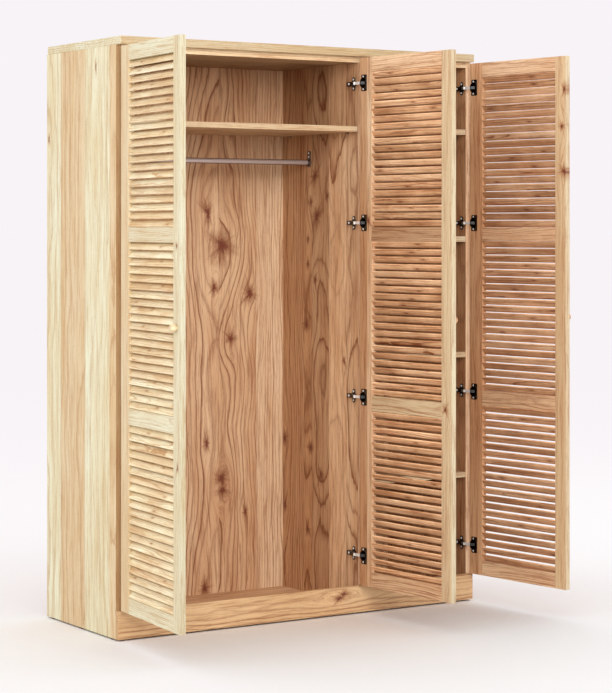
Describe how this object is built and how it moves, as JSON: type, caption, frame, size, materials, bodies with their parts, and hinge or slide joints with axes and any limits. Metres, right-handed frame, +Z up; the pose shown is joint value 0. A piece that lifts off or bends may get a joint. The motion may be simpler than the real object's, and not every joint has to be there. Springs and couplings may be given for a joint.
{
  "type": "louvred wardrobe",
  "caption": "Free-standing oak wardrobe with louvred doors on concealed hinges, a hanging space with a hat shelf and rail, and a narrower shelved compartment beside it.",
  "frame": {"origin": "on the floor, in the middle of the carcass's footprint", "axes": "+Z up, -Y towards the front where the doors open, +X to the right as seen from the front"},
  "size_m": [1.5991, 1.026, 2],
  "materials": {
    "panel_oak": "oiled oak boards glued edge to edge",
    "shelf_oak": "oiled oak",
    "door_oak": "oiled oak",
    "slat_oak": "oiled oak",
    "knob_oak": "oiled, turned oak",
    "dowel_wood": "plain",
    "glide_plastic": "dark moulded plastic",
    "dark_steel": "black nickel plating, polished",
    "link_steel": "nickel plated, satin",
    "screw_steel": "zinc plated",
    "rail_steel": "chromed"
  },
  "bodies": {
    "carcass": {"left_side": "panel_oak", "right_side": "panel_oak", "divider": "panel_oak", "top_board": "panel_oak", "top_panel": "panel_oak", "bottom_board": "panel_oak", "plinth_board": "panel_oak", "left_back_panel": "panel_oak", "right_back_panel": "panel_oak", "hat_shelf": "shelf_oak", "right_shelf_1": "shelf_oak", "right_shelf_2": "shelf_oak", "right_shelf_3": "shelf_oak", "right_shelf_4": "shelf_oak", "shelf_pins": "screw_steel", "hanging_rail": "rail_steel", "rail_holders": "rail_steel", "hinge_plates": "dark_steel", "straight_arms": "dark_steel", "cranked_arms": "dark_steel", "link_pins": "screw_steel", "wood_screws": "screw_steel", "arm_screws": "screw_steel", "carcass_dowels": "dowel_wood", "glides": "glide_plastic"},
    "left_door": {"left_hinge_stile": "door_oak", "left_free_stile": "door_oak", "left_bottom_rail": "door_oak", "left_lower_rail": "door_oak", "left_upper_rail": "door_oak", "left_top_rail": "door_oak", "left_slats": "slat_oak", "left_knob": "knob_oak", "left_hinge_cups": "dark_steel", "left_cup_screws": "screw_steel"},
    "middle_door": {"middle_hinge_stile": "door_oak", "middle_free_stile": "door_oak", "middle_bottom_rail": "door_oak", "middle_lower_rail": "door_oak", "middle_upper_rail": "door_oak", "middle_top_rail": "door_oak", "middle_slats": "slat_oak", "middle_knob": "knob_oak", "middle_hinge_cups": "dark_steel", "middle_cup_screws": "screw_steel"},
    "right_door": {"right_hinge_stile": "door_oak", "right_free_stile": "door_oak", "right_bottom_rail": "door_oak", "right_lower_rail": "door_oak", "right_upper_rail": "door_oak", "right_top_rail": "door_oak", "right_slats": "slat_oak", "right_knob": "knob_oak", "right_hinge_cups": "dark_steel", "right_cup_screws": "screw_steel"},
    "left_links": {"left_links": "link_steel"},
    "middle_links": {"middle_links": "link_steel"},
    "right_links": {"right_links": "link_steel"}
  },
  "joints": [
    {"name": "left_door_turn", "type": "hinge", "parent": "carcass", "child": "left_door", "pos_m": [-0.7279, -0.2834, 1], "axis": [0, 0, -1], "range_deg": [-95.7, 0]},
    {"name": "middle_door_turn", "type": "hinge", "parent": "carcass", "child": "middle_door", "pos_m": [0.24263, -0.2834, 1], "axis": [0, 0, 1], "range_deg": [-95.8, 0]},
    {"name": "right_door_turn", "type": "hinge", "parent": "carcass", "child": "right_door", "pos_m": [0.7279, -0.2834, 1], "axis": [0, 0, 1], "range_deg": [-96.9, 0]},
    {"name": "left_link_turn", "type": "hinge", "parent": "carcass", "child": "left_links", "pos_m": [-0.699, -0.266, 1], "axis": [0, 0, -1], "range_deg": [-154, 0]},
    {"name": "middle_link_turn", "type": "hinge", "parent": "carcass", "child": "middle_links", "pos_m": [0.21373, -0.266, 1], "axis": [0, 0, 1], "range_deg": [-154, 0]},
    {"name": "right_link_turn", "type": "hinge", "parent": "carcass", "child": "right_links", "pos_m": [0.699, -0.266, 1], "axis": [0, 0, 1], "range_deg": [-154, 0]}
  ],
  "couplings": [
    {"joint": "left_link_turn", "follows": "left_door_turn", "ratio": 1.57},
    {"joint": "middle_link_turn", "follows": "middle_door_turn", "ratio": 1.57},
    {"joint": "right_link_turn", "follows": "right_door_turn", "ratio": 1.57}
  ]
}
